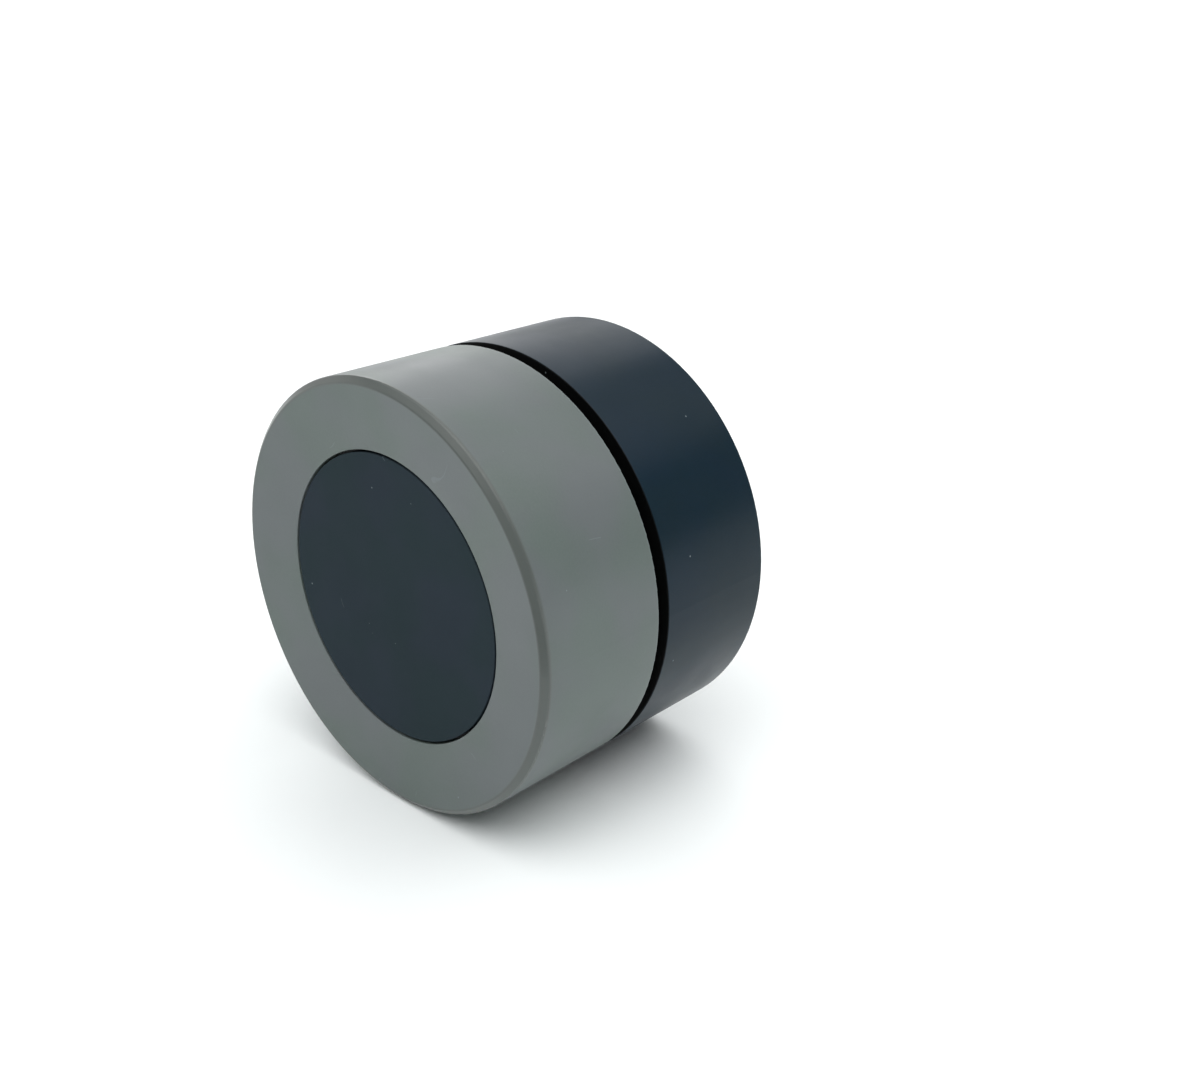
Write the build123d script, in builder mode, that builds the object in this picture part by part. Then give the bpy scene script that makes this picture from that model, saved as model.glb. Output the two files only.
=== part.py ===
"""Survey prism: a 38 mm corner cube in a round canister, with its push-on cap in place.

The optical axis is Y and the front faces -Y. Every station named *_F is a distance in
millimetres forward of the rear mounting face, so a point at station F stands at y = -F.
Plane.XZ.offset(F) is the plane at that station, and extrude runs forward from it.
"""

from build123d import *
import os
from math import cos, pi, radians, sin, sqrt, tan

os.makedirs("parts", exist_ok=True)

# Outer drum: body, groove and cap share one diameter
OUTER_R = 30.0
BODY_LENGTH = 19.6
GROOVE_WIDTH = 1.9
CAP_LENGTH = 20.35
EDGE_BREAK = 0.15

# Front face of the cap: a shallow cone that falls from the chamfered rim to the disc
RIM_CHAMFER = (0.85, 0.72)
RIM_EDGE_ROUND = 0.35
DISH_SLOPE = radians(8.4)
APERTURE_R = 20.25
DISC_R = 19.9
DISC_RECESS = 0.05
TAPE_THICKNESS = 0.2
TAPE_INNER_R = 12.0
TAPE_OUTER_R = 19.0

# Cap walls
CAP_SEAM_R = 28.2
CAP_BORE_R = 26.9
SHELL_FACE_THICKNESS = 1.6
LINER_FACE_THICKNESS = 1.2
LINER_CORNER = 1.0
PAD_R = 24.0
PAD_THICKNESS = 0.6

# Neck barrel
BARREL_R = 26.6
BARREL_BORE_R = 22.6
THREAD_BORE_R = 24.6
THREAD_LENGTH = 3.1
BARREL_FRONT_F = 36.5
GRIP_SECTION_R = 0.75
GRIP_GROOVE_WIDTH = 2.0
GRIP_GROOVE_R = 25.3
GRIP_STATIONS_F = {"rear": 25.6, "front": 31.7}
SEAL_SECTION_R = 0.6
SEAL_GROOVE_WIDTH = 1.7
SEAL_GROOVE_R = 25.4
BARREL_SEAL_F = 12.9
STOP_RING_R = 27.6

# Corner cube and what holds it
PRISM_R = 19.0
PRISM_EDGE_BAND = 0.8
PRISM_FRONT_F = 35.5
PRISM_CHAMFER = 0.3
GASKET_THICKNESS = 0.4
LIP_R = 18.3
LIP_THICKNESS = 0.9
RETAINING_SKIRT_R = 22.75
SPANNER_SLOT = (2.0, 3.0)
CUP_R = 22.5
CUP_CLEARANCE = 0.15
CUP_SKIRT_R = 20.9
CUP_SKIRT_F = 7.4
CUP_NOSE_R = 3.0
CUP_NOSE_F = 6.8
CUP_POCKET_F = 19.6
CUP_FRONT_F = 35.4
WASHER_R = 22.4
WASHER_HOLE_R = 18.6
WASHER_THICKNESS = 0.5
SPRING_R = 22.3
SPRING_HOLE_R = 18.9
SPRING_THICKNESS = 0.6

# Rear end
PLATE_R = 28.0
PLATE_THICKNESS = 2.4
FLANGE_THICKNESS = 2.0
FLANGE_HOLE_R = 18.5
BOSS_R = 9.0
BOSS_F = 6.6
PLATE_SEAL_R = 20.1
PLATE_SEAL_SECTION_R = 0.44
PLATE_SEAL_GROOVE = (1.3, 0.95)
INSERT_R = 5.6
INSERT_FLANGE_R = 7.0
INSERT_FLANGE_THICKNESS = 0.8
INSERT_LENGTH = 6.1
MOUNT_THREAD_R = 3.4
KNURL_COUNT = 18
KNURL_R = 0.35

# Countersunk M2.5 screws
SCREW_COUNT = 4
SCREW_CIRCLE_R = 24.6
SCREW_R = 1.2
SCREW_HEAD_R = 2.3
SCREW_HEAD_HEIGHT = 1.3
SCREW_LENGTH = 10.0
SCREW_SOCKET_R = 0.85
SCREW_SOCKET_DEPTH = 0.8
TAPPED_HOLE_R = 1.25
TAPPED_HOLE_DEPTH = 7.5
CLEARANCE_HOLE_R = 1.4

# Slip between parts that push or turn together
SLIP = 0.05

# Stations that follow from the sizes above
CAP_REAR_F = BODY_LENGTH + GROOVE_WIDTH
RIM_F = CAP_REAR_F + CAP_LENGTH
RIM_R = OUTER_R - RIM_CHAMFER[0]
SHOULDER_F = RIM_F - RIM_CHAMFER[1]
DISH_F = RIM_F - (RIM_R - APERTURE_R) * tan(DISH_SLOPE)
LINER_FRONT_F = DISH_F - SHELL_FACE_THICKNESS
LINER_BACK_F = LINER_FRONT_F - LINER_FACE_THICKNESS
DISC_FRONT_F = DISH_F - DISC_RECESS
BARREL_REAR_F = PLATE_THICKNESS + FLANGE_THICKNESS
RETAINING_BACK_F = PRISM_FRONT_F + GASKET_THICKNESS
RETAINING_FRONT_F = RETAINING_BACK_F + LIP_THICKNESS
PRISM_HEIGHT = sqrt(2) * PRISM_R + PRISM_EDGE_BAND
PRISM_APEX_F = PRISM_FRONT_F - PRISM_HEIGHT


def corner_plane(apex_f):
    """Plane at a corner cube's apex whose three axes run forward along the cube's edges."""
    forward = 1 / sqrt(3)
    outward = sqrt(2 / 3)
    edges = []
    for turn in (pi / 2, pi / 2 + 2 * pi / 3, pi / 2 + 4 * pi / 3):
        edges.append(Vector(outward * cos(turn), -forward, outward * sin(turn)))
    return Plane(origin=(0, -apex_f, 0), x_dir=edges[0], z_dir=edges[2])


def front_circles(builder, station):
    """Circular edges of a part that lie in the plane at one station."""
    edges = builder.edges().filter_by(GeomType.CIRCLE)
    return edges.filter_by_position(Axis.Y, -station - SLIP / 2, -station + SLIP / 2)


# --- Cap ---------------------------------------------------------------------------

# Grey outer cup with the round aperture for the disc
with BuildPart() as cap_shell:
    with BuildSketch(Plane.XY):
        with BuildLine():
            Polyline(
                (APERTURE_R, -LINER_FRONT_F),
                (APERTURE_R, -DISH_F),
                (RIM_R, -RIM_F),
                (OUTER_R, -SHOULDER_F),
                (OUTER_R, -CAP_REAR_F),
                (CAP_SEAM_R, -CAP_REAR_F),
                (CAP_SEAM_R, -LINER_FRONT_F + LINER_CORNER),
                (CAP_SEAM_R - LINER_CORNER, -LINER_FRONT_F),
                close=True,
            )
        face = make_face()
        fillet(face.vertices().sort_by(Axis.Y)[:2], RIM_EDGE_ROUND)
    revolve(axis=Axis.Y)
    outer_rear = front_circles(cap_shell, CAP_REAR_F).sort_by(SortBy.RADIUS)[-1]
    fillet(outer_rear, EDGE_BREAK)
    aperture_edge = front_circles(cap_shell, DISH_F).sort_by(SortBy.RADIUS)[0]
    fillet(aperture_edge, EDGE_BREAK / 2)
cap_shell.part.label = "cap_shell"
export_step(cap_shell.part, "parts/cap_shell.step")

# Black moulded cup inside the shell, which carries the disc and slides on the neck
with BuildPart() as cap_liner:
    with BuildSketch(Plane.XZ.offset(CAP_REAR_F)):
        Circle(CAP_SEAM_R - SLIP)
    extrude(amount=LINER_FRONT_F - CAP_REAR_F)
    chamfer(front_circles(cap_liner, LINER_FRONT_F), LINER_CORNER)
    with BuildSketch(Plane.XZ.offset(CAP_REAR_F)):
        Circle(CAP_BORE_R)
    extrude(amount=LINER_BACK_F - CAP_REAR_F, mode=Mode.SUBTRACT)
    lead_in = front_circles(cap_liner, CAP_REAR_F).sort_by(SortBy.RADIUS)[0]
    chamfer(lead_in, 2 * EDGE_BREAK)
cap_liner.part.label = "cap_liner"
export_step(cap_liner.part, "parts/cap_liner.step")

# Dark flat disc that fills the aperture, a hair below the grey face
with BuildPart() as cap_disc:
    with BuildSketch(Plane.XZ.offset(LINER_FRONT_F + TAPE_THICKNESS)):
        Circle(DISC_R)
    extrude(amount=DISC_FRONT_F - LINER_FRONT_F - TAPE_THICKNESS)
    fillet(front_circles(cap_disc, DISC_FRONT_F), EDGE_BREAK / 2)
cap_disc.part.label = "cap_disc"
export_step(cap_disc.part, "parts/cap_disc.step")

# Ring of double-sided tape that bonds the disc to the liner
with BuildPart() as disc_tape:
    with BuildSketch(Plane.XZ.offset(LINER_FRONT_F)):
        Circle(TAPE_OUTER_R)
        Circle(TAPE_INNER_R, mode=Mode.SUBTRACT)
    extrude(amount=TAPE_THICKNESS)
disc_tape.part.label = "disc_tape"
export_step(disc_tape.part, "parts/disc_tape.step")

# Thin pad inside the cap, facing the glass
with BuildPart() as cap_pad:
    with BuildSketch(Plane.XZ.offset(LINER_BACK_F - PAD_THICKNESS)):
        Circle(PAD_R)
    extrude(amount=PAD_THICKNESS)
cap_pad.part.label = "cap_pad"
export_step(cap_pad.part, "parts/cap_pad.step")

# Two O-rings on the neck that grip the liner's bore
for place, station in GRIP_STATIONS_F.items():
    with BuildPart() as grip_ring:
        with BuildSketch(Plane.XY):
            with Locations((CAP_BORE_R - SLIP - GRIP_SECTION_R, -station)):
                Circle(GRIP_SECTION_R)
        revolve(axis=Axis.Y)
    grip_ring.part.label = f"grip_ring_{place}"
    export_step(grip_ring.part, f"parts/grip_ring_{place}.step")

# --- Neck and prism ------------------------------------------------------------------

# Ring at the bottom of the groove, on which the cap's liner stops
with BuildPart() as stop_ring:
    with BuildSketch(Plane.XZ.offset(BODY_LENGTH)):
        Circle(STOP_RING_R)
        Circle(BARREL_R + SLIP, mode=Mode.SUBTRACT)
    extrude(amount=GROOVE_WIDTH - SLIP)
stop_ring.part.label = "stop_ring"
export_step(stop_ring.part, "parts/stop_ring.step")

# Barrel: holds the prism stack, and is the neck that the cap pushes onto
with BuildPart() as prism_barrel:
    with BuildSketch(Plane.XZ.offset(BARREL_REAR_F)):
        Circle(BARREL_R)
        Circle(BARREL_BORE_R, mode=Mode.SUBTRACT)
    extrude(amount=BARREL_FRONT_F - BARREL_REAR_F)
    with BuildSketch(Plane.XZ.offset(BARREL_FRONT_F - THREAD_LENGTH)):
        Circle(THREAD_BORE_R)
    extrude(amount=THREAD_LENGTH, mode=Mode.SUBTRACT)
    for station in GRIP_STATIONS_F.values():
        with BuildSketch(Plane.XZ.offset(station - GRIP_GROOVE_WIDTH / 2)):
            Circle(OUTER_R)
            Circle(GRIP_GROOVE_R, mode=Mode.SUBTRACT)
        extrude(amount=GRIP_GROOVE_WIDTH, mode=Mode.SUBTRACT)
    with BuildSketch(Plane.XZ.offset(BARREL_SEAL_F - SEAL_GROOVE_WIDTH / 2)):
        Circle(OUTER_R)
        Circle(SEAL_GROOVE_R, mode=Mode.SUBTRACT)
    extrude(amount=SEAL_GROOVE_WIDTH, mode=Mode.SUBTRACT)
    with BuildSketch(Plane.XZ.offset(BARREL_REAR_F)):
        with PolarLocations(SCREW_CIRCLE_R, SCREW_COUNT, start_angle=45):
            Circle(TAPPED_HOLE_R)
    extrude(amount=TAPPED_HOLE_DEPTH, mode=Mode.SUBTRACT)
    neck_edge = front_circles(prism_barrel, BARREL_FRONT_F).sort_by(SortBy.RADIUS)[-1]
    chamfer(neck_edge, 3 * EDGE_BREAK)
prism_barrel.part.label = "prism_barrel"
export_step(prism_barrel.part, "parts/prism_barrel.step")

# O-ring between the barrel and the body
with BuildPart() as barrel_seal:
    with BuildSketch(Plane.XY):
        with Locations((BARREL_R - SEAL_SECTION_R, -BARREL_SEAL_F)):
            Circle(SEAL_SECTION_R - SLIP / 2)
    revolve(axis=Axis.Y)
barrel_seal.part.label = "barrel_seal"
export_step(barrel_seal.part, "parts/barrel_seal.step")

# Glass corner cube: a rod cut by three mutually square facets that meet at the apex
with BuildPart() as corner_cube:
    with BuildSketch(Plane.XZ.offset(PRISM_APEX_F)):
        Circle(PRISM_R)
    extrude(amount=PRISM_HEIGHT)
    chamfer(front_circles(corner_cube, PRISM_FRONT_F), PRISM_CHAMFER)
    cube_edge = 3 * PRISM_R
    with Locations(corner_plane(PRISM_APEX_F).location):
        Box(cube_edge, cube_edge, cube_edge, align=(Align.MIN,) * 3, mode=Mode.INTERSECT)
corner_cube.part.label = "corner_cube"
export_step(corner_cube.part, "parts/corner_cube.step")

# Moulded cup whose pocket follows the three facets with a thin air gap
with BuildPart(mode=Mode.PRIVATE) as cup_pocket:
    with BuildSketch(Plane.XZ.offset(PRISM_APEX_F - CUP_CLEARANCE * sqrt(3))):
        Circle(PRISM_R + CUP_CLEARANCE)
    extrude(amount=PRISM_HEIGHT + 1)
    with Locations(corner_plane(PRISM_APEX_F - CUP_CLEARANCE * sqrt(3)).location):
        Box(cube_edge, cube_edge, cube_edge, align=(Align.MIN,) * 3, mode=Mode.INTERSECT)

with BuildPart() as prism_cup:
    with BuildSketch(Plane.XY):
        with BuildLine():
            Polyline(
                (0, -CUP_NOSE_F),
                (CUP_NOSE_R, -CUP_NOSE_F),
                (CUP_SKIRT_R, -CUP_POCKET_F),
                (CUP_SKIRT_R, -CUP_SKIRT_F),
                (CUP_R, -CUP_SKIRT_F),
                (CUP_R, -CUP_FRONT_F),
                (0, -CUP_FRONT_F),
                close=True,
            )
        make_face()
    revolve(axis=Axis.Y)
    add(cup_pocket.part, mode=Mode.SUBTRACT)
prism_cup.part.label = "prism_cup"
export_step(prism_cup.part, "parts/prism_cup.step")

# Flat gasket on the glass
with BuildPart() as front_gasket:
    with BuildSketch(Plane.XZ.offset(PRISM_FRONT_F)):
        Circle(CUP_R)
        Circle(LIP_R, mode=Mode.SUBTRACT)
    extrude(amount=GASKET_THICKNESS)
front_gasket.part.label = "front_gasket"
export_step(front_gasket.part, "parts/front_gasket.step")

# Threaded ring that holds the glass in, with two slots for a pin spanner
with BuildPart() as retaining_ring:
    with BuildSketch(Plane.XZ.offset(RETAINING_BACK_F)):
        Circle(THREAD_BORE_R - SLIP)
        Circle(LIP_R, mode=Mode.SUBTRACT)
    extrude(amount=LIP_THICKNESS)
    with BuildSketch(Plane.XZ.offset(RETAINING_FRONT_F - THREAD_LENGTH)):
        Circle(THREAD_BORE_R - SLIP)
        Circle(RETAINING_SKIRT_R, mode=Mode.SUBTRACT)
    extrude(amount=THREAD_LENGTH)
    with BuildSketch(Plane.XZ.offset(RETAINING_BACK_F + LIP_THICKNESS / 2)):
        with PolarLocations((LIP_R + THREAD_BORE_R) / 2, 2):
            Rectangle(SPANNER_SLOT[1], SPANNER_SLOT[0])
    extrude(amount=LIP_THICKNESS, mode=Mode.SUBTRACT)
    lip_edge = front_circles(retaining_ring, RETAINING_FRONT_F).sort_by(SortBy.RADIUS)[0]
    chamfer(lip_edge, 2 * EDGE_BREAK)
retaining_ring.part.label = "retaining_ring"
export_step(retaining_ring.part, "parts/retaining_ring.step")

# Conical spring that pushes the cup and the glass forward
SPRING_FRONT_F = CUP_SKIRT_F - WASHER_THICKNESS
with BuildPart() as disc_spring:
    with BuildSketch(Plane.XY):
        with BuildLine():
            Polyline(
                (SPRING_R, -BARREL_REAR_F),
                (SPRING_R, -BARREL_REAR_F - SPRING_THICKNESS),
                (SPRING_HOLE_R, -SPRING_FRONT_F),
                (SPRING_HOLE_R, -SPRING_FRONT_F + SPRING_THICKNESS),
                close=True,
            )
        make_face()
    revolve(axis=Axis.Y)
disc_spring.part.label = "disc_spring"
export_step(disc_spring.part, "parts/disc_spring.step")

# Washer between the spring and the cup
with BuildPart() as spring_washer:
    with BuildSketch(Plane.XZ.offset(SPRING_FRONT_F)):
        Circle(WASHER_R)
        Circle(WASHER_HOLE_R, mode=Mode.SUBTRACT)
    extrude(amount=WASHER_THICKNESS)
spring_washer.part.label = "spring_washer"
export_step(spring_washer.part, "parts/spring_washer.step")

# --- Body ----------------------------------------------------------------------------

# Dark drum: a tube with an inner flange that the barrel and the rear plate clamp
with BuildPart() as body_shell:
    with BuildSketch(Plane.XZ):
        Circle(OUTER_R)
    extrude(amount=BODY_LENGTH)
    fillet(body_shell.edges().filter_by(GeomType.CIRCLE), EDGE_BREAK)
    with BuildSketch(Plane.XZ):
        Circle(PLATE_R + SLIP)
    extrude(amount=PLATE_THICKNESS, mode=Mode.SUBTRACT)
    with BuildSketch(Plane.XZ):
        Circle(FLANGE_HOLE_R)
    extrude(amount=BODY_LENGTH, mode=Mode.SUBTRACT)
    with BuildSketch(Plane.XZ.offset(BARREL_REAR_F)):
        Circle(BARREL_R + SLIP)
    extrude(amount=BODY_LENGTH, mode=Mode.SUBTRACT)
    with BuildSketch(Plane.XZ):
        with PolarLocations(SCREW_CIRCLE_R, SCREW_COUNT, start_angle=45):
            Circle(CLEARANCE_HOLE_R)
    extrude(amount=BARREL_REAR_F, mode=Mode.SUBTRACT)
body_shell.part.label = "body_shell"
export_step(body_shell.part, "parts/body_shell.step")

# Rear plate with the mounting boss
with BuildPart() as rear_plate:
    with BuildSketch(Plane.XZ):
        Circle(PLATE_R)
    extrude(amount=PLATE_THICKNESS)
    with BuildSketch(Plane.XZ):
        Circle(BOSS_R)
    extrude(amount=BOSS_F)
    with BuildSketch(Plane.XZ):
        Circle(INSERT_FLANGE_R)
    extrude(amount=INSERT_FLANGE_THICKNESS, mode=Mode.SUBTRACT)
    with BuildSketch(Plane.XZ):
        Circle(INSERT_R)
    extrude(amount=INSERT_LENGTH, mode=Mode.SUBTRACT)
    with BuildSketch(Plane.XZ.offset(PLATE_THICKNESS - PLATE_SEAL_GROOVE[1])):
        Circle(PLATE_SEAL_R + PLATE_SEAL_GROOVE[0] / 2)
        Circle(PLATE_SEAL_R - PLATE_SEAL_GROOVE[0] / 2, mode=Mode.SUBTRACT)
    extrude(amount=PLATE_SEAL_GROOVE[1], mode=Mode.SUBTRACT)
    with Locations(Plane((0, 0, 0), x_dir=(1, 0, 0), z_dir=(0, 1, 0))):
        with PolarLocations(SCREW_CIRCLE_R, SCREW_COUNT, start_angle=45):
            CounterSinkHole(CLEARANCE_HOLE_R, SCREW_HEAD_R + SLIP, PLATE_THICKNESS)
rear_plate.part.label = "rear_plate"
export_step(rear_plate.part, "parts/rear_plate.step")

# O-ring in the plate's face groove
with BuildPart() as plate_seal:
    with BuildSketch(Plane.XY):
        with Locations((PLATE_SEAL_R, -PLATE_THICKNESS + PLATE_SEAL_SECTION_R)):
            Circle(PLATE_SEAL_SECTION_R)
    revolve(axis=Axis.Y)
plate_seal.part.label = "plate_seal"
export_step(plate_seal.part, "parts/plate_seal.step")

# Brass M8 insert: flange flush with the rear face, straight-knurled body, blind in the boss
with BuildPart() as thread_insert:
    with BuildSketch(Plane.XZ):
        Circle(INSERT_FLANGE_R - SLIP)
    extrude(amount=INSERT_FLANGE_THICKNESS - SLIP)
    with BuildSketch(Plane.XZ):
        Circle(INSERT_R - SLIP)
        with PolarLocations(INSERT_R, KNURL_COUNT):
            Circle(KNURL_R, mode=Mode.SUBTRACT)
    extrude(amount=INSERT_LENGTH - SLIP)
    with BuildSketch(Plane.XZ):
        Circle(MOUNT_THREAD_R)
    extrude(amount=INSERT_LENGTH, mode=Mode.SUBTRACT)
thread_insert.part.label = "thread_insert"
export_step(thread_insert.part, "parts/thread_insert.step")

# Four countersunk screws that clamp plate, flange and barrel together
with BuildPart() as plate_screws:
    with Locations(Plane((0, 0, 0), x_dir=(1, 0, 0), z_dir=(0, 1, 0))):
        with PolarLocations(SCREW_CIRCLE_R, SCREW_COUNT, start_angle=45):
            Cylinder(SCREW_R, SCREW_LENGTH, align=(Align.CENTER, Align.CENTER, Align.MAX))
            Cone(
                SCREW_R,
                SCREW_HEAD_R,
                SCREW_HEAD_HEIGHT,
                align=(Align.CENTER, Align.CENTER, Align.MAX),
            )
    with BuildSketch(Plane.XZ):
        with PolarLocations(SCREW_CIRCLE_R, SCREW_COUNT, start_angle=45):
            RegularPolygon(SCREW_SOCKET_R, 6)
    extrude(amount=SCREW_SOCKET_DEPTH, mode=Mode.SUBTRACT)
plate_screws.part.label = "plate_screws"
export_step(plate_screws.part, "parts/plate_screws.step")
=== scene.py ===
"""Looks for the capped survey prism: pieces, materials, studio and camera round the CAD frame.

The optical axis is Y and the front faces -Y. As in the CAD, a station is a distance forward of the
rear face, so station F stands at y = -F. Angles round the axis start at +X and turn towards +Z.
"""

from math import cos, exp, pi, radians, sin

import bmesh
import bpy
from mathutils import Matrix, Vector, noise


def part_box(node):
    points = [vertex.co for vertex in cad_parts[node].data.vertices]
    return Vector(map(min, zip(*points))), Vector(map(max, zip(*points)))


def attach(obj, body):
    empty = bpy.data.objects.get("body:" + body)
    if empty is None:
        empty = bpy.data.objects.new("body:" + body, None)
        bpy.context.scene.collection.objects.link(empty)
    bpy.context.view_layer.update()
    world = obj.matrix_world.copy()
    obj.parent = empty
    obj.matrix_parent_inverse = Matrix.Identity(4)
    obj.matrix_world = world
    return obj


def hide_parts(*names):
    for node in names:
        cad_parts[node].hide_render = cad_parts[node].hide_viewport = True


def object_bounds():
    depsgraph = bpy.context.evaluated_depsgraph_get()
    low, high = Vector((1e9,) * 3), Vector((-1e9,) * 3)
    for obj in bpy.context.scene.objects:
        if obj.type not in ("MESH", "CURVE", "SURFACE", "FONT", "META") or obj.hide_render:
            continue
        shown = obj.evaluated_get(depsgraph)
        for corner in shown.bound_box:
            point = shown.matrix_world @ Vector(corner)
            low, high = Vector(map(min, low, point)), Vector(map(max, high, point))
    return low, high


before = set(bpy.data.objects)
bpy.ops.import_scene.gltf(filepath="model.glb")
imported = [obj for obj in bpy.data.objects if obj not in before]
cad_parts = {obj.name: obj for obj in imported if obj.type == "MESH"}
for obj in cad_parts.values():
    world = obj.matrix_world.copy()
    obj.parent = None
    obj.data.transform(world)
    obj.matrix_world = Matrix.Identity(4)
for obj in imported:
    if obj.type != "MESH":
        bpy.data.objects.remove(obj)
CAD_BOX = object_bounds()

MM = 0.001
DRUM_R = CAD_BOX[1].x
FLOOR_Z = CAD_BOX[0].z
LATHE_STEPS = 288


def front(node):
    """Station of a node's front end."""
    return -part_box(node)[0].y


def rear(node):
    """Station of a node's rear end."""
    return -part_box(node)[1].y


def radius(node):
    """Outer radius of a round node."""
    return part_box(node)[1].x


# --- Material tools ------------------------------------------------------------------


class Nodes:
    """A material under construction, with short calls for the nodes that the looks are made of."""

    def __init__(self, name):
        self.material = bpy.data.materials.new(name)
        self.material.use_nodes = True
        self.tree = self.material.node_tree
        self.shader = self.tree.nodes["Principled BSDF"]
        self.where = self.tree.nodes.new("ShaderNodeTexCoord").outputs["Object"]

    def set(self, socket, source):
        """Feeds a socket from another socket, or gives it a constant."""
        if isinstance(source, bpy.types.NodeSocket):
            self.tree.links.new(source, socket)
        else:
            socket.default_value = source

    def add(self, kind, links=(), **values):
        """A new node. links pair an input with its source, and values are its settings."""
        node = self.tree.nodes.new(kind)
        for key, value in values.items():
            setattr(node, key, value)
        for name, source in links:
            self.set(node.inputs[name], source)
        return node

    def math(self, operation, a, b=0.0):
        node = self.add("ShaderNodeMath", [(0, a), (1, b)], operation=operation)
        return node.outputs["Value"]

    def channel(self, vector, index):
        return self.add("ShaderNodeSeparateXYZ", [(0, vector)]).outputs[index]

    def station(self):
        """Distance forward of the rear face."""
        return self.math("MULTIPLY", self.channel(self.where, 1), -1.0)

    def distance(self):
        """Distance from the optical axis."""
        links = [(0, self.where), (1, (1, 0, 1))]
        flat = self.add("ShaderNodeVectorMath", links, operation="MULTIPLY")
        length = self.add("ShaderNodeVectorMath", [(0, flat.outputs[0])], operation="LENGTH")
        return length.outputs["Value"]

    def noise(self, size, detail=2.0, roughness=0.5, shift=0.0):
        """Noise around 0.5 with features about size metres across. shift picks another pattern."""
        moved = self.add("ShaderNodeVectorMath", [(0, self.where), (1, (shift, 0, 0))])
        links = [("Vector", moved.outputs[0]), ("Scale", 1 / size)]
        links += [("Detail", detail), ("Roughness", roughness)]
        return self.add("ShaderNodeTexNoise", links).outputs["Fac"]

    def span(self, value, low, high, to_low=0.0, to_high=1.0):
        """Maps low..high to to_low..to_high with soft ends."""
        links = [("Value", value), ("From Min", low), ("From Max", high)]
        links += [("To Min", to_low), ("To Max", to_high)]
        node = self.add("ShaderNodeMapRange", links, interpolation_type="SMOOTHSTEP")
        return node.outputs["Result"]

    def clouds(self, size, detail=2.0):
        """Soft cloudy mask from 0 to 1, with patches about size metres across."""
        return self.span(self.noise(size, detail), 0.3, 0.7)

    def mix(self, share, a, b):
        """Colour a where share is 0 and b where it is 1."""
        node = self.add("ShaderNodeMix", data_type="RGBA")
        self.set(node.inputs["Factor"], share)
        self.set(node.inputs[6], a)
        self.set(node.inputs[7], b)
        return node.outputs[2]

    def blend(self, share, a, b):
        """Number a where share is 0 and b where it is 1."""
        node = self.add("ShaderNodeMix", data_type="FLOAT")
        self.set(node.inputs["Factor"], share)
        self.set(node.inputs[2], a)
        self.set(node.inputs[3], b)
        return node.outputs[0]

    def specks(self, cell, share):
        """Mask of round dust specks: one in the middle of a cell, in a share of the cells."""
        voronoi = self.add("ShaderNodeTexVoronoi", [("Vector", self.where), ("Scale", 1 / cell)])
        reach = SPECK_RADIUS / cell
        near = self.span(voronoi.outputs["Distance"], 0.5 * reach, reach, 1.0, 0.0)
        chosen = self.math("LESS_THAN", self.channel(voronoi.outputs["Color"], 0), share)
        return self.math("MULTIPLY", near, chosen)

    def hairs(self, shift):
        """Mask of a few short curved fibres: contour lines of smooth noise, shown in spots."""
        height = self.noise(HAIR_CURVE, 0.0, shift=shift)
        off_contour = self.math("ABSOLUTE", self.math("SUBTRACT", height, 0.5))
        line = self.span(off_contour, *HAIR_EDGE, 1.0, 0.0)
        spot = self.span(self.noise(HAIR_SPOT, 0.0, shift=2 * shift), *HAIR_RARITY)
        return self.math("MULTIPLY", line, spot)

    def bump(self, height, depth):
        """Normal of a surface whose height changes by depth metres for each unit of height."""
        node = self.add("ShaderNodeBump", [("Height", height), ("Distance", depth)])
        return node.outputs["Normal"]

    def finish(self, **inputs):
        """Feeds the shader's inputs, named with underscores for spaces. Returns the material."""
        for name, source in inputs.items():
            self.set(self.shader.inputs[name.replace("_", " ")], source)
        return self.material


def rgb(red, green, blue):
    return (red, green, blue, 1.0)


def tinted(colour, factor, violet=0.0):
    """A colour made lighter or darker by a factor, and turned from green towards violet."""
    red, green, blue = (channel * factor for channel in colour[:3])
    return rgb(red * (1 + violet), green, blue * (1 + violet))


# --- Materials -----------------------------------------------------------------------

# Dust: specks and fibres that lie on the skins, and how much of the tone they cover
DUST = rgb(0.36, 0.42, 0.44)
DUST_COVER = 0.4
DUST_ROUGHNESS = 0.3
SPECK_RADIUS = 0.16 * MM
SPECK_CELL = 2.6 * MM
HAIR_CURVE = 7 * MM
HAIR_EDGE = (0.002, 0.006)
HAIR_SPOT = 6 * MM
HAIR_RARITY = (0.72, 0.74)
HAIR_STRENGTH = 0.35

# Sizes of the slow clouds in a skin's tone, hue and gloss
TONE_CLOUD = 14 * MM
HUE_CLOUD = 13 * MM
GLOSS_CLOUD = 8 * MM


def between(low, high, fade=0.08 * MM):
    """Mask of the stretch between two stations."""
    def mask(n):
        after = n.span(n.station(), low - fade, low + fade)
        before = n.span(n.station(), high - fade, high + fade, 1.0, 0.0)
        return n.math("MULTIPLY", after, before)
    return mask


def outer_corner(r, station, width):
    """Mask of a round part's front corner, as far as width from the corner point."""
    def mask(n):
        reach = n.math("ADD", n.distance(), n.station())
        return n.span(reach, r + station - 1.15 * width, r + station - 0.85 * width)
    return mask


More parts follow.
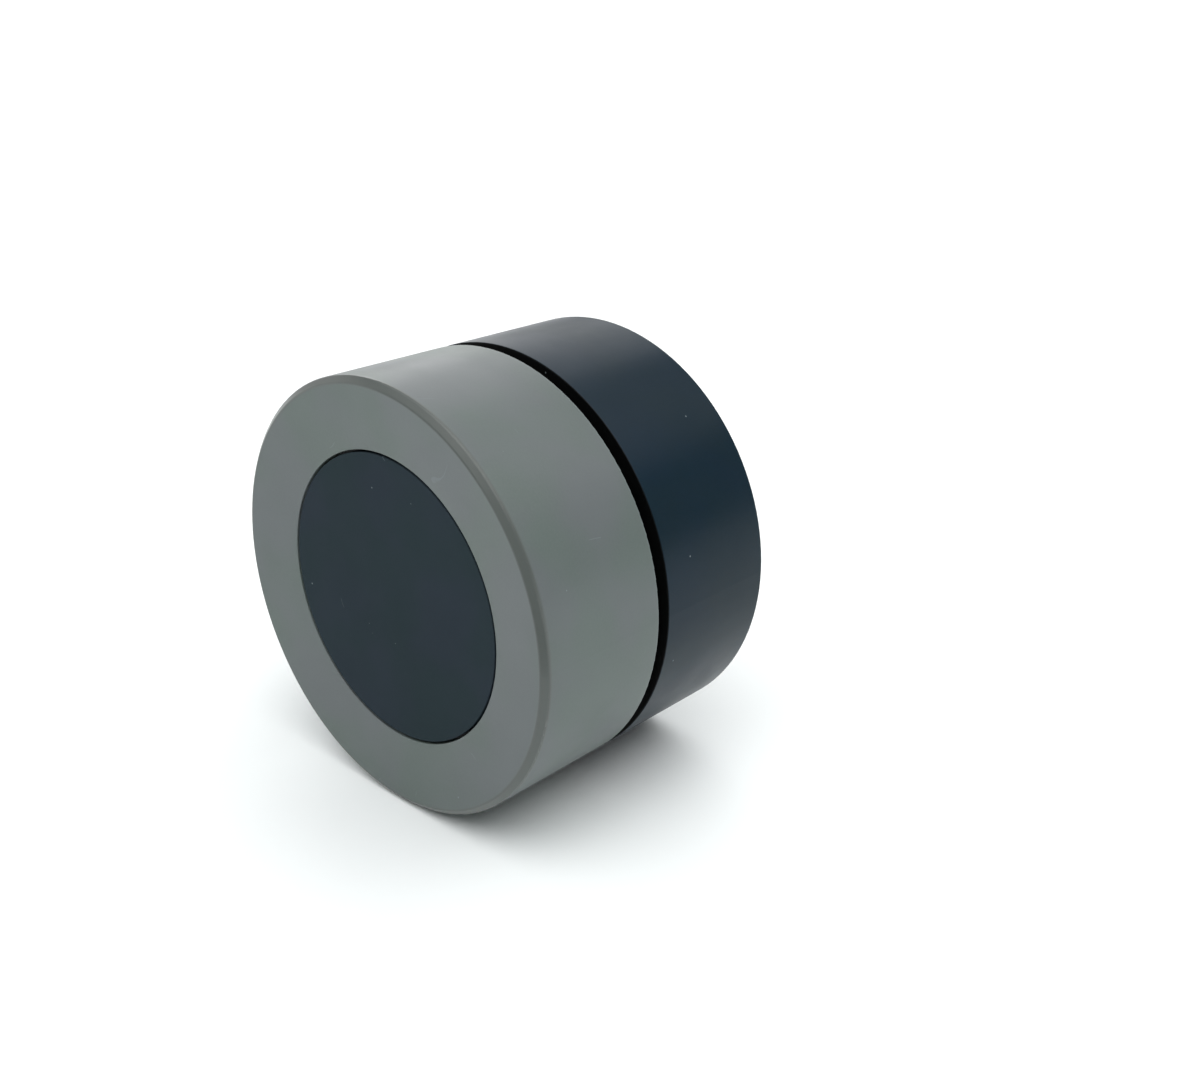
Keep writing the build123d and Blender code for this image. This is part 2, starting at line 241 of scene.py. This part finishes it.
def skinned(
    name, colour, roughness, mottle, grain, depth, dust=0.0, hairs=None, zones=(), **shader
):
    """Moulded or painted skin: clouds of tone and hue, fine grain, uneven gloss, a little dust.

    mottle is how far the tone wanders, grain the size of the grain and depth its height. dust is
    the share of cells with a speck, and hairs picks the pattern of the fibres. zones are (mask,
    colour, roughness): places where painted light or shade lies over the tone, a painted
    highlight or painted shade, with a gloss of its own.
    """
    n = Nodes(name)
    clouds = n.clouds(TONE_CLOUD, 3.0)
    green, violet = (
        n.mix(clouds, tinted(colour, 1 - mottle, tint), tinted(colour, 1 + mottle, tint))
        for tint in (-2 * mottle, 2 * mottle)
    )
    tone = n.mix(n.span(n.noise(HUE_CLOUD, shift=0.7), 0.35, 0.65), green, violet)
    fine = n.noise(grain, 2.0, 0.6)
    tone = n.mix(n.span(fine, 0.3, 0.7, 0.0, 0.3), tone, tinted(colour, 1 + 4 * mottle))
    wear = n.noise(GLOSS_CLOUD, 4.0, shift=0.3)
    gloss = n.span(wear, 0.25, 0.75, roughness - 0.03, roughness + 0.04)
    # Each zone lays painted light or shade over the tone: a painted highlight or painted shade.
    for mask, painted_light_tone, zone_gloss in zones:
        inside = mask(n)
        tone = n.mix(inside, tone, painted_light_tone)
        gloss = n.blend(inside, gloss, zone_gloss)
    if dust:
        marks = n.specks(SPECK_CELL, dust)
        if hairs is not None:
            marks = n.math("MAXIMUM", marks, n.math("MULTIPLY", n.hairs(hairs), HAIR_STRENGTH))
        tone = n.mix(n.math("MULTIPLY", marks, DUST_COVER), tone, DUST)
        gloss = n.math("ADD", gloss, n.math("MULTIPLY", marks, DUST_ROUGHNESS))
    height = n.math("ADD", fine, n.math("MULTIPLY", n.noise(6 * grain), 1.5))
    normal = n.bump(height, depth)
    return n.finish(Base_Color=tone, Roughness=gloss, Normal=normal, **shader)


def turned(name, colour, roughness, pitch, depth, **shader):
    """Lathe-turned metal: tool rings a pitch apart round the axis, uneven in tone and gloss."""
    n = Nodes(name)
    along = n.math("ADD", n.distance(), n.station())
    wander = n.math("MULTIPLY", n.noise(3 * MM), 0.6)
    rings = n.math("SINE", n.math("ADD", n.math("MULTIPLY", along, 2 * pi / pitch), wander))
    normal = n.bump(rings, depth)
    tone = n.mix(n.clouds(4 * MM, 4.0), tinted(colour, 0.9), tinted(colour, 1.1))
    gloss = n.span(n.noise(1.5 * MM, 3.0), 0.3, 0.7, roughness - 0.05, roughness + 0.07)
    return n.finish(Base_Color=tone, Roughness=gloss, Normal=normal, **shader)


def felt(name, colour):
    """Thin pressed felt: matted fibres and a soft nap, no gloss."""
    n = Nodes(name)
    fibres = n.noise(0.25 * MM, 6.0, 0.75)
    tone = n.mix(n.span(fibres, 0.35, 0.65), tinted(colour, 0.6), tinted(colour, 1.5))
    normal = n.bump(n.math("ADD", fibres, n.noise(1.2 * MM, 3.0)), 0.12 * MM)
    return n.finish(
        Base_Color=tone, Roughness=0.95, Normal=normal, Sheen_Weight=0.3, Specular_IOR_Level=0.1
    )


def optical_glass(name):
    """Polished crown glass with a faint trace of wiping on the surface."""
    n = Nodes(name)
    gloss = n.span(n.noise(7 * MM, 4.0), 0.45, 0.75, 0.0, 0.02)
    return n.finish(
        Base_Color=rgb(0.97, 0.99, 0.985), Roughness=gloss, Transmission_Weight=1.0, IOR=1.517
    )


GREY_TONE = rgb(0.114, 0.137, 0.134)
CAP_REAR = rear("cap_shell")
# Painted highlight: a lighter band along the cap's rear edge, where light catches the small
# rounded edge.
CAP_EDGE_PAINTED_HIGHLIGHT = (between(CAP_REAR - MM, CAP_REAR + 0.3 * MM), tinted(GREY_TONE, 1.25), 0.38)
# Painted shade: the chamfer round the cap's front rim is coloured darker and warmer than the grey,
# as it looks where it faces the dark camera side.
CAP_RIM_SHADE_MASK = outer_corner(radius("cap_shell"), front("cap_shell"), 1.05 * MM)
CAP_RIM_PAINTED_SHADE = (CAP_RIM_SHADE_MASK, rgb(0.1, 0.113, 0.107), 0.28)
GREY = skinned(
    "soft_touch_grey", GREY_TONE, 0.38, 0.03, 0.3 * MM, 0.003 * MM,
    dust=0.12, hairs=0.15, zones=(CAP_EDGE_PAINTED_HIGHLIGHT, CAP_RIM_PAINTED_SHADE), Specular_IOR_Level=0.4,
)
DISC = skinned(
    "disc_matte", rgb(0.028, 0.04, 0.049), 0.5, 0.03, 0.25 * MM, 0.003 * MM,
    dust=0.3, hairs=0.05, Specular_IOR_Level=0.01,
)
BODY_FRONT = front("body_shell")
# Painted shade: the drum's front shoulder inside the groove is coloured near-black, as deep in the
# groove's shadow.
SHOULDER_PAINTED_SHADE = (between(BODY_FRONT - 0.08 * MM, BODY_FRONT + MM), rgb(0.0005, 0.0008, 0.001), 0.6)
NAVY = skinned(
    "dark_satin_paint", rgb(0.0005, 0.0122, 0.0232), 0.33, 0.04, 0.25 * MM, 0.002 * MM,
    dust=0.3, zones=(SHOULDER_PAINTED_SHADE,), Specular_IOR_Level=0.18,
)
PLASTIC = skinned(
    "black_moulded_plastic", rgb(0.011, 0.011, 0.012), 0.5, 0.06, 0.16 * MM, 0.006 * MM,
    Specular_IOR_Level=0.35,
)
RUBBER = skinned(
    "black_rubber", rgb(0.006, 0.006, 0.006), 0.6, 0.08, 0.14 * MM, 0.004 * MM,
    Specular_IOR_Level=0.2,
)
# Painted shade: the stop ring at the bottom of the groove is coloured near-black, the deep shadow
# of the groove.
GROOVE_PAINTED_SHADE = skinned(
    "groove_painted_shade", rgb(0.0008, 0.001, 0.0012), 0.7, 0.05, 0.14 * MM, 0.004 * MM,
    Specular_IOR_Level=0.05,
)
TAPE = skinned(
    "black_tape", rgb(0.01, 0.01, 0.01), 0.45, 0.05, 0.3 * MM, 0.004 * MM, Specular_IOR_Level=0.3
)
ANODISED = turned(
    "black_anodised", rgb(0.014, 0.014, 0.016), 0.38, 0.14 * MM, 0.003 * MM,
    Specular_IOR_Level=0.6,
)
BRASS = turned("turned_brass", rgb(0.62, 0.42, 0.17), 0.28, 0.12 * MM, 0.002 * MM, Metallic=1.0)
STEEL = turned("spring_steel", rgb(0.42, 0.42, 0.43), 0.3, 0.2 * MM, 0.002 * MM, Metallic=1.0)
OXIDE = turned(
    "black_oxide_steel", rgb(0.05, 0.05, 0.055), 0.35, 0.1 * MM, 0.001 * MM, Metallic=1.0
)
FELT = felt("pad_felt", rgb(0.035, 0.037, 0.04))
GLASS = optical_glass("optical_glass")

NODE_MATERIALS = {
    "cap_shell": GREY,
    "cap_disc": DISC,
    "cap_liner": PLASTIC,
    "disc_tape": TAPE,
    "stop_ring": GROOVE_PAINTED_SHADE,
    "prism_barrel": ANODISED,
    "retaining_ring": ANODISED,
    "front_gasket": RUBBER,
    "corner_cube": GLASS,
    "prism_cup": PLASTIC,
    "disc_spring": STEEL,
    "spring_washer": STEEL,
    "body_shell": NAVY,
    "rear_plate": NAVY,
    "plate_screws": OXIDE,
}

for node, material in NODE_MATERIALS.items():
    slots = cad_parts[node].data.materials
    slots.clear()
    slots.append(material)

# --- Detailed pieces -----------------------------------------------------------------


def skin(name, rings, material, node, body):
    """A closed skin over rings round the axis, which stands for a CAD node.

    A ring is (radius, station), and either may be a function of the angle. The last ring joins the
    first, and a radius of 0 closes to a point.
    """
    mesh = bpy.data.meshes.new(name)
    bm = bmesh.new()
    loops = []
    for ring_radius, station in rings:
        loop = []
        for step in range(LATHE_STEPS):
            angle = 2 * pi * step / LATHE_STEPS
            r = ring_radius(angle) if callable(ring_radius) else ring_radius
            f = station(angle) if callable(station) else station
            loop.append(bm.verts.new((r * cos(angle), -f, r * sin(angle))))
        loops.append(loop)
    for index, loop in enumerate(loops):
        before = loops[index - 1]
        for step in range(LATHE_STEPS):
            bm.faces.new((before[step - 1], before[step], loop[step], loop[step - 1]))
    bmesh.ops.remove_doubles(bm, verts=bm.verts, dist=0.0005 * MM)
    bmesh.ops.recalc_face_normals(bm, faces=bm.faces)
    for face in bm.faces:
        face.smooth = True
    for edge in bm.edges:
        edge.smooth = edge.calc_face_angle(0.0) < radians(35)
    bm.to_mesh(mesh)
    bm.free()
    mesh.materials.append(material)
    piece = bpy.data.objects.new(name, mesh)
    bpy.context.scene.collection.objects.link(piece)
    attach(piece, body)
    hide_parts(node)
    return piece


def o_ring(node, body):
    """Moulded O-ring: a round section with the thin flash line of the mould's two halves."""
    section = (front(node) - rear(node)) / 2
    centre_r = radius(node) - section
    centre_f = (front(node) + rear(node)) / 2
    flash = 0.03 * MM
    flash_width = 0.1
    steps = 48
    rings = []
    for step in range(steps):
        turn = 2 * pi * step / steps
        off_line = min(abs(turn - side) for side in (0, pi, 2 * pi))
        swell = section - flash + flash * exp(-((off_line / flash_width) ** 2))
        rings.append((centre_r + swell * cos(turn), centre_f + swell * sin(turn)))
    skin(f"{node}_rubber", rings, RUBBER, node, body)


def felt_pad(node, body):
    """Die-cut felt disc with a rounded, slightly uneven edge and a gently uneven face."""
    edge = (front(node) - rear(node)) / 2
    rim = radius(node) - edge
    middle = (front(node) + rear(node)) / 2
    face_steps = 24
    edge_steps = 12
    lumps = 0.07
    lump_scale = 700
    frays = 0.001
    fray_scale = 900

    def ragged(r, height):
        def ring_radius(angle):
            spot = Vector((r * cos(angle), height, r * sin(angle)))
            return r * (1 + frays * noise.noise(spot * fray_scale))
        return ring_radius

    def uneven(r, height):
        def ring_station(angle):
            spot = Vector((r * cos(angle), height, r * sin(angle)))
            return middle + height * (1 - lumps + lumps * noise.noise(spot * lump_scale))
        return ring_station

    faces = [rim * step / face_steps for step in range(1, face_steps)]
    rings = [(0.0, middle - (1 - lumps) * edge)]
    rings += [(r, uneven(r, -edge)) for r in faces]
    for step in range(edge_steps + 1):
        turn = -pi / 2 + pi * step / edge_steps
        height = edge * sin(turn)
        rings.append((ragged(rim + edge * cos(turn), height), uneven(rim, height)))
    rings += [(r, uneven(r, edge)) for r in reversed(faces)]
    rings.append((0.0, middle + (1 - lumps) * edge))
    pad = skin("felt_pad", rings, FELT, node, body)


def threaded_insert(node, body):
    """Brass insert with a real M8 thread, a countersunk mouth and straight knurling."""
    flange_r = radius(node)
    depth = front(node)
    flange = 0.75 * MM
    body_r = 5.55 * MM
    knurls = 36
    pitch = 1.25 * MM
    minor_r = 3.4 * MM
    major_r = 4.0 * MM
    mouth_r = 4.2 * MM
    break_edge = 0.1 * MM
    knurl_depth = 0.2 * MM
    flank_slope = 2.4
    crest_flat = 0.15
    steps_per_pitch = 24

    def thread(station):
        def ring_radius(angle):
            phase = (station / pitch - angle / (2 * pi)) % 1.0
            height = min(1.0, max(0.0, flank_slope * abs(phase - 0.5) - crest_flat))
            mouth = mouth_r - station
            return max(minor_r + (major_r - minor_r) * height, mouth)
        return ring_radius

    def knurled(angle):
        return body_r - knurl_depth * abs(sin(knurls * angle / 2)) ** 3

    steps = round(depth / pitch * steps_per_pitch)
    stations = [depth * step / steps for step in range(steps + 1)]
    rings = [(thread(station), station) for station in stations]
    end_r = body_r - knurl_depth - break_edge
    rings += [(end_r, depth), (knurled, depth - break_edge), (knurled, flange)]
    rings += [(flange_r, flange), (flange_r, break_edge), (flange_r - break_edge, 0.0)]
    skin("threaded_insert", rings, BRASS, node, body)


for seal, carrier in (
    ("grip_ring_front", "cap_grip"),
    ("grip_ring_rear", "cap_grip"),
    ("barrel_seal", "canister"),
    ("plate_seal", "canister"),
):
    o_ring(seal, carrier)
felt_pad("cap_pad", "cap")
threaded_insert("thread_insert", "canister")

# --- Studio --------------------------------------------------------------------------

VIEW_HEADING = radians(42.95)
VIEW_PITCH = radians(23.05)
VIEW_LENS = 41.2
VIEW_FROM = Vector((4.345, -4.682, 2.581)) * DRUM_R
FLOOR_WHITE = rgb(0.965, 1.0, 1.0)
BACKDROP = rgb(0.99, 0.995, 1.0)
FLAG_HEADING = radians(33)
FLAG_DISTANCE = 110 * MM
FLAG_HALF_WIDTH = 45 * MM
FLAG_TOP = 60 * MM


def add_camera():
    """The camera looks down at the front from the right, level, with no shift."""
    data = bpy.data.cameras.new("view")
    data.lens = VIEW_LENS
    data.sensor_width = 36.0
    data.clip_start = 0.01
    data.clip_end = 50.0
    camera = bpy.data.objects.new("view", data)
    bpy.context.scene.collection.objects.link(camera)
    camera.location = VIEW_FROM
    camera.rotation_euler = (pi / 2 - VIEW_PITCH, 0, VIEW_HEADING)
    bpy.context.scene.camera = camera


def add_floor():
    bpy.ops.mesh.primitive_plane_add(size=40, location=(0, 0, FLOOR_Z))
    floor = bpy.context.object
    floor.name = "floor"
    n = Nodes("white_tabletop")
    tone = n.mix(n.clouds(80 * MM), tinted(FLOOR_WHITE, 0.995), FLOOR_WHITE)
    floor.data.materials.append(n.finish(Base_Color=tone, Roughness=0.8, Specular_IOR_Level=0.1))


def add_flag():
    """A black card on the camera's side, seen only as a dark reflection in satin surfaces."""
    away = Vector((sin(FLAG_HEADING), -cos(FLAG_HEADING), 0)) * FLAG_DISTANCE
    side = Vector((cos(FLAG_HEADING), sin(FLAG_HEADING), 0)) * FLAG_HALF_WIDTH
    foot = Vector((0, 0, FLOOR_Z))
    top = Vector((0, 0, FLAG_TOP))
    corners = [away - side + foot, away + side + foot, away + side + top, away - side + top]
    mesh = bpy.data.meshes.new("flag")
    mesh.from_pydata([tuple(corner) for corner in corners], [], [(0, 1, 2, 3)])
    n = Nodes("flag_black")
    tone = n.mix(n.clouds(MM), rgb(0.008, 0.008, 0.008), rgb(0.012, 0.012, 0.012))
    mesh.materials.append(n.finish(Base_Color=tone, Roughness=0.9, Specular_IOR_Level=0.0))
    flag = bpy.data.objects.new("flag", mesh)
    bpy.context.scene.collection.objects.link(flag)
    flag.visible_camera = False
    flag.visible_shadow = False
    flag.visible_diffuse = False


def add_panel(name, azimuth, elevation, spread, strength):
    """A large distant diffuser. Angles are in degrees, azimuth from +X towards +Y."""
    data = bpy.data.lights.new(name, "SUN")
    data.energy = strength
    data.angle = radians(spread)
    light = bpy.data.objects.new(name, data)
    bpy.context.scene.collection.objects.link(light)
    a, e = radians(azimuth), radians(elevation)
    towards = Vector((cos(a) * cos(e), sin(a) * cos(e), sin(e)))
    light.rotation_mode = "QUATERNION"
    light.rotation_quaternion = (-towards).to_track_quat("-Z", "Y")


def add_backdrop():
    """Pale wall far behind. The panels do all the lighting, so only the camera sees it."""
    world = bpy.data.worlds.new("studio")
    bpy.context.scene.world = world
    world.use_nodes = True
    tree = world.node_tree
    background = tree.nodes["Background"]
    background.inputs["Color"].default_value = BACKDROP
    path = tree.nodes.new("ShaderNodeLightPath")
    tree.links.new(path.outputs["Is Camera Ray"], background.inputs["Strength"])


add_camera()
add_floor()
add_flag()
add_backdrop()
add_panel("overhead", 0, 90, 90, 0.65)
add_panel("high_right", 0, 60, 60, 0.65)
add_panel("high_back", 60, 60, 60, 0.75)
add_panel("high_left", 240, 60, 60, 0.65)
add_panel("high_front", 300, 60, 60, 1.10)
add_panel("back_right", 55, 32, 45, 0.15)
add_panel("back_left", 135, 32, 45, 0.70)
add_panel("low_right", 35, 10, 40, 0.15)
add_panel("low_back", 157, 10, 40, 0.40)
add_panel("low_left", 202, 10, 40, 0.35)
bpy.context.scene.view_settings.view_transform = "Standard"
